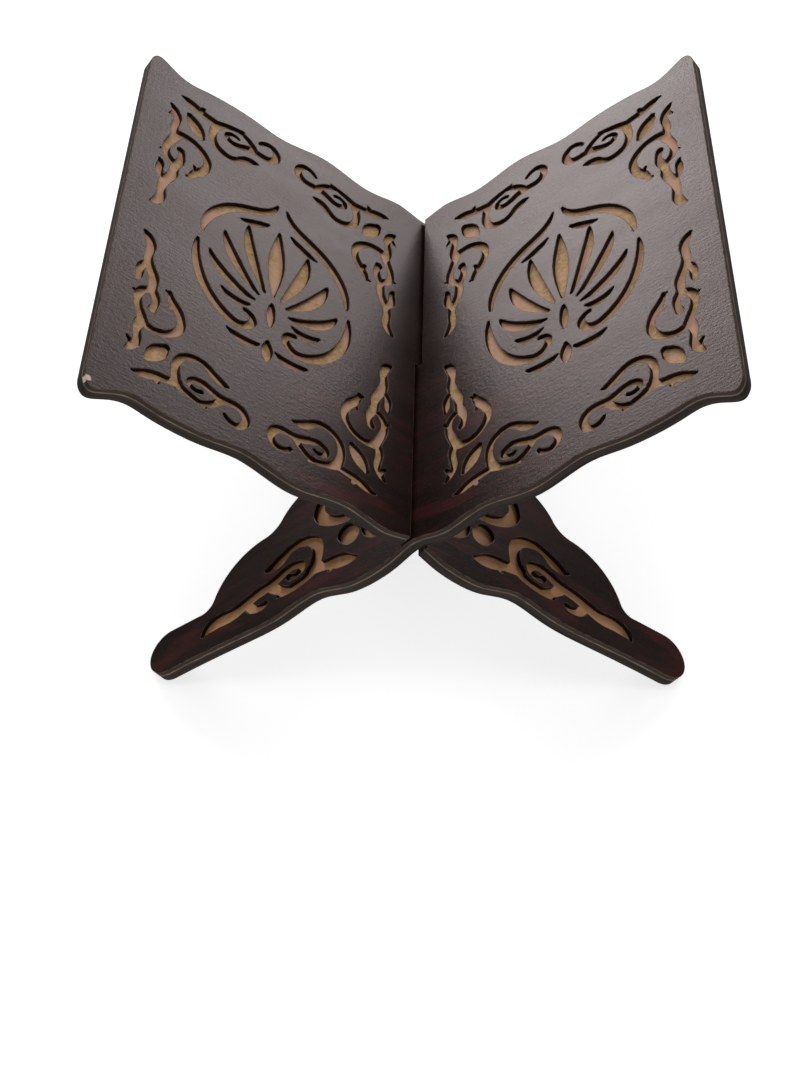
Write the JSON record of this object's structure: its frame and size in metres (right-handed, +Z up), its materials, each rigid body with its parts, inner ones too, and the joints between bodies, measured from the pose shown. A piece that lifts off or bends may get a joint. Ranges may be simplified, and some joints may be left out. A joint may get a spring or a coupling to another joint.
{
  "type": "x-frame book stand",
  "caption": "Tabletop book stand of crossed slotted boards with scalloped edges, arched feet and scrolled fretwork faces that cradle an open book.",
  "frame": {"origin": "on the floor under the crossing axis, half way between the front and rear toes", "axes": "+X to the reader's right, +Y to the rear, +Z up"},
  "size_m": [0.2564, 0.2266, 0.1881],
  "materials": {
    "dark_laminate": "satin dark wenge laminate, fine grain",
    "raw_core": "matt raw fibreboard, stained dark on the outer edges",
    "dark_veneer": "satin dark veneer"
  },
  "bodies": {
    "left_board": {"left_core_board": "raw_core", "left_fretwork_face": "dark_laminate", "left_back_sheet": "dark_veneer"},
    "right_board": {"right_core_board": "raw_core", "right_fretwork_face": "dark_laminate", "right_back_sheet": "dark_veneer"}
  },
  "joints": [
    {"name": "board_fold", "type": "hinge", "parent": "left_board", "child": "right_board", "pos_m": [0, 0, 0.09117], "axis": [0, -1, 0], "range_deg": [0, 32.9]}
  ]
}
